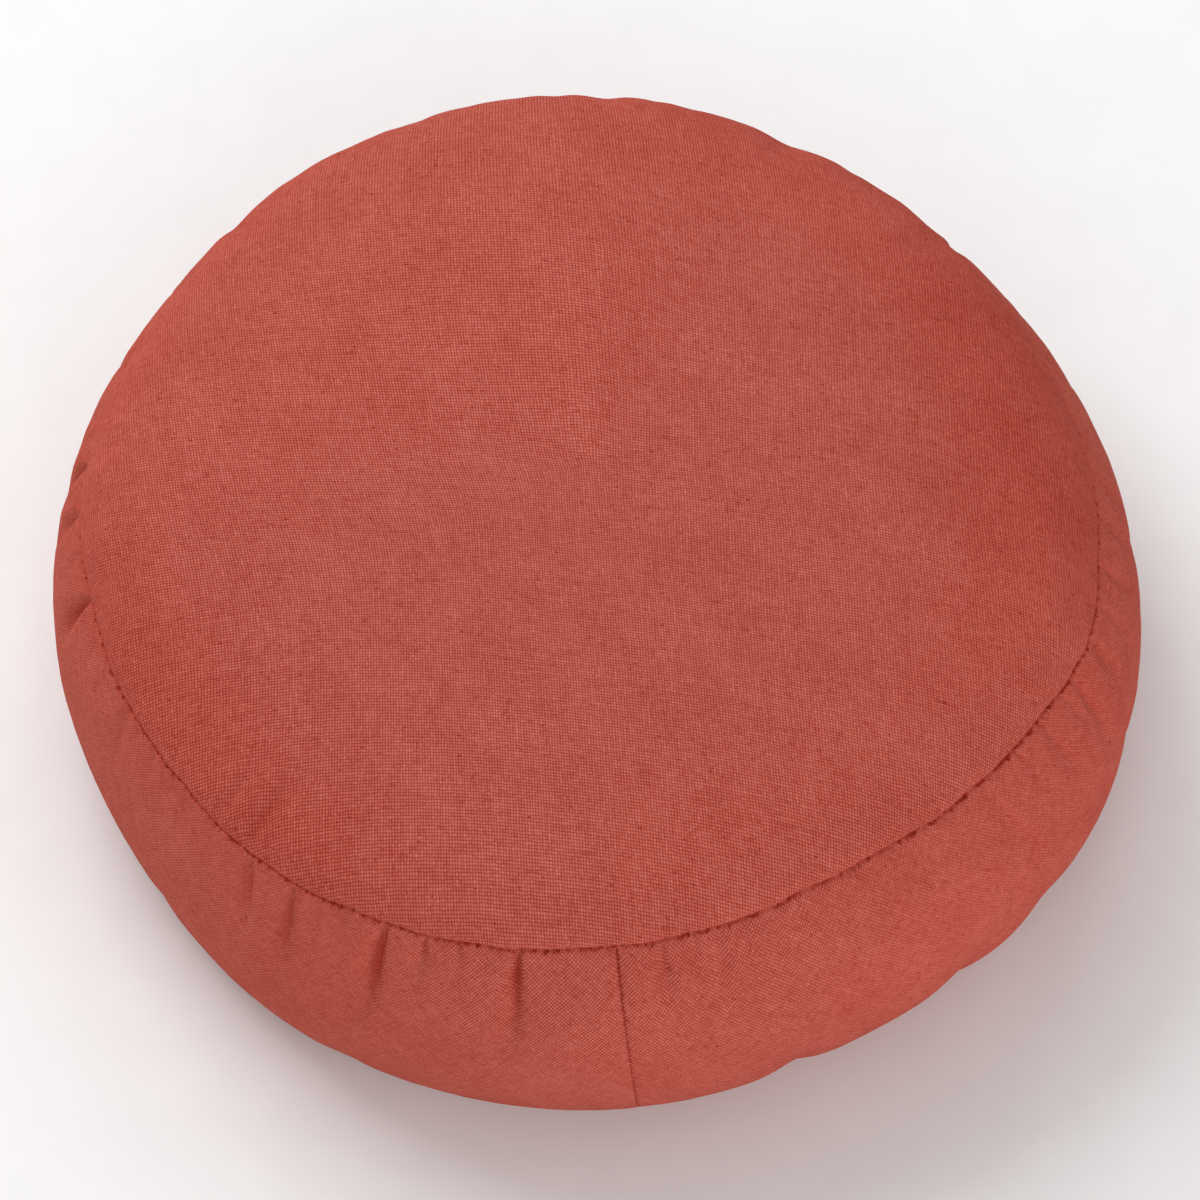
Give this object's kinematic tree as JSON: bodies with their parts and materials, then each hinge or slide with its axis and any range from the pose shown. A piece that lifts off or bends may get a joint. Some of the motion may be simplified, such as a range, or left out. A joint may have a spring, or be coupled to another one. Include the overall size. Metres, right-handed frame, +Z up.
{
  "type": "round seat cushion",
  "caption": "Round filled seat cushion with a crowned top, a gathered side band and a flat base, in plain terracotta woven cloth.",
  "frame": {"origin": "under the middle of the cushion's outline, on the surface that it rests on", "axes": "+Z up through the crown, -Y towards the picture's camera, where the band's closing seam is, +X to the picture's right"},
  "size_m": [0.3798, 0.3958, 0.14],
  "materials": {
    "woven_cloth": "matt plain weave with small slubs"
  },
  "bodies": {
    "root": {"top_panel": "woven_cloth", "side_band": "woven_cloth", "bottom_panel": "woven_cloth"}
  },
  "joints": []
}
